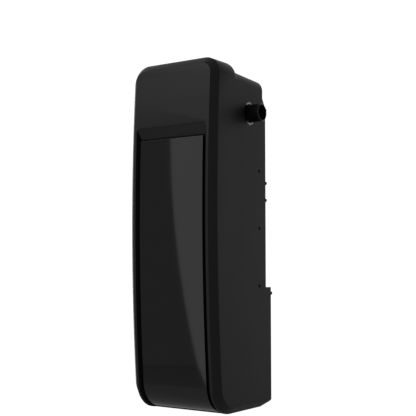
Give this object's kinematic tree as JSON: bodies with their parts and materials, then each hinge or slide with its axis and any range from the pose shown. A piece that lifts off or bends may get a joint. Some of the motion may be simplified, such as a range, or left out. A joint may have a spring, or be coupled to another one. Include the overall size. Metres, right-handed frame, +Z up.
{
  "type": "garage door opener",
  "caption": "Side-mounted garage door opener: tall black housing with a gloss front panel and a hollow output shaft through both sides near the top.",
  "frame": {"origin": "centre of the four wall-bracket bolt holes, on the upper back face, midway between the sides", "axes": "+Z up along the housing, +X along the output shaft to the object's right seen from the front, +Y towards the wall; the front faces -Y"},
  "size_m": [0.188, 0.1554, 0.491],
  "materials": {
    "matte_cover": "fine moulded texture, matte",
    "gloss_panel": "high gloss",
    "black_steel": "black powder coat",
    "lever_steel": "red powder coat",
    "black_screw": "black oxide",
    "zinc_steel": "bright zinc plate",
    "bearing_steel": "ground, bright",
    "dark_shaft_steel": "black oxide, satin",
    "bronze": "machined",
    "cast_aluminium": "as cast",
    "motor_steel": "zinc plate, satin",
    "ferrite": "dull",
    "laminated_steel": "stacked laminations",
    "copper": "turned",
    "amber_plastic": "satin",
    "board_plastic": "satin",
    "nylon": "moulded",
    "circuit_board": "solder mask",
    "yellow_button": "satin",
    "grey_button": "satin",
    "clear_lens": "clear",
    "battery_case": "satin"
  },
  "bodies": {
    "root": {"back_screws": "black_screw", "battery": "battery_case", "battery_bracket": "zinc_steel", "battery_door_pin": "zinc_steel", "bearing_ring_left": "bearing_steel", "bearing_ring_right": "bearing_steel", "board_bracket": "zinc_steel", "bracket_nuts": "zinc_steel", "brush_holder": "amber_plastic", "capacitors": "board_plastic", "carbon_brushes": "ferrite", "case_screws": "zinc_steel", "chassis": "black_steel", "control_bezel": "matte_cover", "cord_gland": "board_plastic", "cover": "matte_cover", "gear_case_left": "cast_aluminium", "gear_case_right": "cast_aluminium", "gland_nut": "board_plastic", "gloss_panel": "gloss_panel", "heat_sink": "cast_aluminium", "lever_bracket": "zinc_steel", "lever_pin": "zinc_steel", "logic_board": "circuit_board", "motor_can": "motor_steel", "motor_end_cap": "motor_steel", "motor_flange": "cast_aluminium", "motor_magnets": "ferrite", "relays": "board_plastic", "sensor_bracket": "zinc_steel", "side_screws": "black_screw", "status_lenses": "clear_lens", "tach_sensor": "board_plastic", "tact_switches": "board_plastic", "terminal_block": "grey_button", "terminal_screws": "zinc_steel", "transformer_coil": "amber_plastic", "transformer_core": "laminated_steel", "transformer_strap": "zinc_steel", "wheel_bushings": "bronze", "worm_bushings": "bronze"},
    "output": {"output_shaft": "dark_shaft_steel", "shaft_keys": "zinc_steel", "retaining_rings": "black_screw", "worm_wheel": "bronze", "sensor_drive_gear": "nylon"},
    "worm_shaft": {"motor_shaft": "bearing_steel", "worm": "dark_shaft_steel", "rotor_core": "laminated_steel", "commutator": "copper", "tach_wheel": "board_plastic"},
    "clutch": {"clutch_ring": "dark_shaft_steel"},
    "release": {"release_lever": "lever_steel"},
    "sensor": {"sensor_gear": "nylon"},
    "hatch": {"battery_door": "matte_cover"},
    "learn": {"learn_button": "yellow_button"},
    "up": {"up_button": "grey_button"},
    "set": {"set_button": "grey_button"},
    "down": {"down_button": "grey_button"}
  },
  "joints": [
    {"name": "output_spin", "type": "hinge", "parent": "root", "child": "output", "pos_m": [0, -0.0418, 0.121], "axis": [1, 0, 0], "continuous": true},
    {"name": "worm_spin", "type": "hinge", "parent": "root", "child": "worm_shaft", "pos_m": [0, -0.07692, 0], "axis": [0, 0, 1], "continuous": true},
    {"name": "sensor_spin", "type": "hinge", "parent": "root", "child": "sensor", "pos_m": [0, -0.06726, 0.09554], "axis": [1, 0, 0], "continuous": true},
    {"name": "release_tilt", "type": "hinge", "parent": "root", "child": "release", "pos_m": [-0.0406, -0.0418, 0.075], "axis": [0, -1, 0], "range_deg": [0, 12.1]},
    {"name": "clutch_slide", "type": "slide", "parent": "output", "child": "clutch", "axis": [-1, 0, 0], "range_m": [0, 0.0052]},
    {"name": "hatch_hinge", "type": "hinge", "parent": "root", "child": "hatch", "pos_m": [0, -0.0169, -0.2975], "axis": [1, 0, 0], "range_deg": [0, 95]},
    {"name": "learn_press", "type": "slide", "parent": "root", "child": "learn", "axis": [1, 0, 0], "range_m": [0, 0.0008], "stiffness_N_per_m": 400, "springref_m": -0.0003},
    {"name": "up_press", "type": "slide", "parent": "root", "child": "up", "axis": [1, 0, 0], "range_m": [0, 0.0008], "stiffness_N_per_m": 400, "springref_m": -0.0003},
    {"name": "set_press", "type": "slide", "parent": "root", "child": "set", "axis": [1, 0, 0], "range_m": [0, 0.0008], "stiffness_N_per_m": 400, "springref_m": -0.0003},
    {"name": "down_press", "type": "slide", "parent": "root", "child": "down", "axis": [1, 0, 0], "range_m": [0, 0.0008], "stiffness_N_per_m": 400, "springref_m": -0.0003}
  ],
  "couplings": [
    {"joint": "worm_spin", "follows": "output_spin", "ratio": 31},
    {"joint": "sensor_spin", "follows": "output_spin", "ratio": -2},
    {"joint": "release_tilt", "follows": "clutch_slide", "rad_per_m": 40.277}
  ]
}
